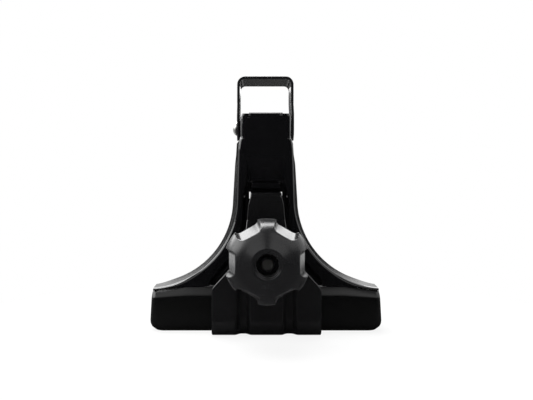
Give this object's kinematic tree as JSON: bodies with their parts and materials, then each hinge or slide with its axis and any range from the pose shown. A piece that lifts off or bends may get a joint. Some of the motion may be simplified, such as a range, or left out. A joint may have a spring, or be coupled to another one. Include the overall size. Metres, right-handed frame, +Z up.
{
  "type": "roof bar foot",
  "caption": "Rain gutter foot for a square roof bar: pressed tower on a moulded shoe, lever clamp with hook, lobed knob and a hinged shackle over the bar seat.",
  "frame": {"origin": "middle of the shoe's underside, where it stands in the rain gutter", "axes": "+Z up, +Y towards the middle of the roof along the load bar, the knob faces -Y, +X along the gutter"},
  "size_m": [0.1456, 0.092, 0.1633],
  "materials": {
    "gloss_black_paint": "gloss",
    "clamp_black_paint": "gloss",
    "shackle_black_paint": "satin",
    "black_moulding": "satin",
    "knob_plastic": "satin",
    "nylon_black": "matte",
    "black_rubber": "matte",
    "zinc_steel": "zinc plated",
    "spring_steel": "satin"
  },
  "bodies": {
    "foot": {"tower": "gloss_black_paint", "gutter_shoe": "black_moulding", "cross_bolt": "zinc_steel", "cross_nut": "zinc_steel", "spacer_sleeve": "zinc_steel", "shackle_washers": "nylon_black", "clamp_bolt": "zinc_steel", "bolt_plate": "gloss_black_paint", "bolt_retainer": "spring_steel"},
    "clamp": {"clamp_bracket": "clamp_black_paint", "hook_guard": "black_rubber"},
    "washer": {"thrust_washer": "zinc_steel"},
    "handle": {"knob": "knob_plastic", "knob_nut": "zinc_steel"},
    "shackle": {"bar_shackle": "shackle_black_paint"}
  },
  "joints": [
    {"name": "knob_travel", "type": "slide", "parent": "foot", "child": "washer", "axis": [0, -1, 0], "range_m": [0, 0.0125]},
    {"name": "knob_turn", "type": "hinge", "parent": "washer", "child": "handle", "pos_m": [0, -0.049, 0.046], "axis": [0, -1, 0], "range_deg": [0, 3600]},
    {"name": "clamp_swing", "type": "hinge", "parent": "foot", "child": "clamp", "pos_m": [0, -0.004, 0.0867], "axis": [-1, 0, 0], "range_deg": [0, 12.8]},
    {"name": "shackle_swing", "type": "hinge", "parent": "foot", "child": "shackle", "pos_m": [0, 0.0105, 0.129], "axis": [1, 0, 0], "range_deg": [-60, 90]}
  ],
  "couplings": [
    {"joint": "knob_travel", "follows": "knob_turn", "m_per_rad": 0.00019894},
    {"joint": "clamp_swing", "follows": "knob_turn", "ratio": 0.003533}
  ]
}
